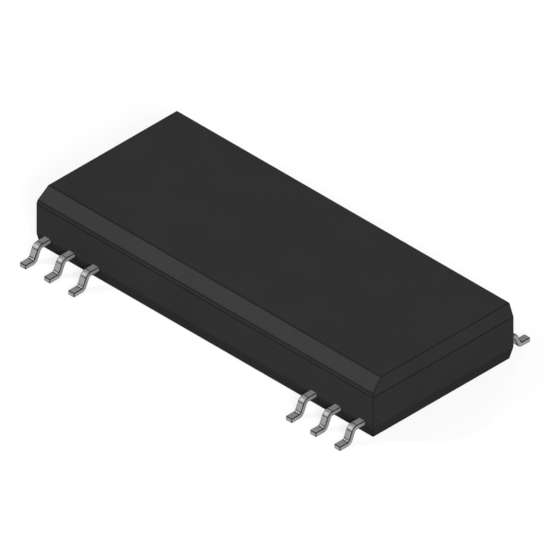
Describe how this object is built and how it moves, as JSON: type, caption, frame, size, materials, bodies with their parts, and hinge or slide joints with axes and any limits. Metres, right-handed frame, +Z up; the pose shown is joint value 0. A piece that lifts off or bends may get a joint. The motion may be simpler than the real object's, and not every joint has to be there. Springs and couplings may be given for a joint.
{
  "type": "digital isolator",
  "caption": "Wide moulded surface-mount package with a bevelled edge and gull-wing leads grouped at its ends, holding two chips that pass signals over an isolation gap.",
  "frame": {"origin": "on the board surface that the feet stand on, under the middle of the body", "axes": "+X along the body; -Y towards the bevelled side (side A), whose lead 1 is at the -X end; +Z up from the board"},
  "size_m": [0.0176, 0.01, 0.0026],
  "materials": {
    "mould_compound": "matte",
    "tin_plated_lead": "satin",
    "die_attach_adhesive": "matte",
    "silicon_die": "gloss",
    "gold_wire": "satin"
  },
  "bodies": {
    "root": {"mould_body": "mould_compound", "side_a_lead_1": "tin_plated_lead", "side_a_lead_2": "tin_plated_lead", "side_a_lead_3": "tin_plated_lead", "side_a_lead_4": "tin_plated_lead", "side_a_lead_5": "tin_plated_lead", "side_a_lead_6": "tin_plated_lead", "side_b_lead_1": "tin_plated_lead", "side_b_lead_2": "tin_plated_lead", "side_b_lead_3": "tin_plated_lead", "side_b_lead_4": "tin_plated_lead", "side_b_lead_5": "tin_plated_lead", "side_b_lead_6": "tin_plated_lead", "side_a_die_attach": "die_attach_adhesive", "side_b_die_attach": "die_attach_adhesive", "side_a_die": "silicon_die", "side_b_die": "silicon_die", "side_a_wire_1": "gold_wire", "side_a_wire_2": "gold_wire", "side_a_wire_3": "gold_wire", "side_a_wire_4": "gold_wire", "side_a_wire_5": "gold_wire", "side_a_wire_6": "gold_wire", "side_b_wire_1": "gold_wire", "side_b_wire_2": "gold_wire", "side_b_wire_3": "gold_wire", "side_b_wire_4": "gold_wire", "side_b_wire_5": "gold_wire", "side_b_wire_6": "gold_wire", "barrier_wire_1": "gold_wire", "barrier_wire_2": "gold_wire", "barrier_wire_3": "gold_wire", "barrier_wire_4": "gold_wire"}
  },
  "joints": []
}
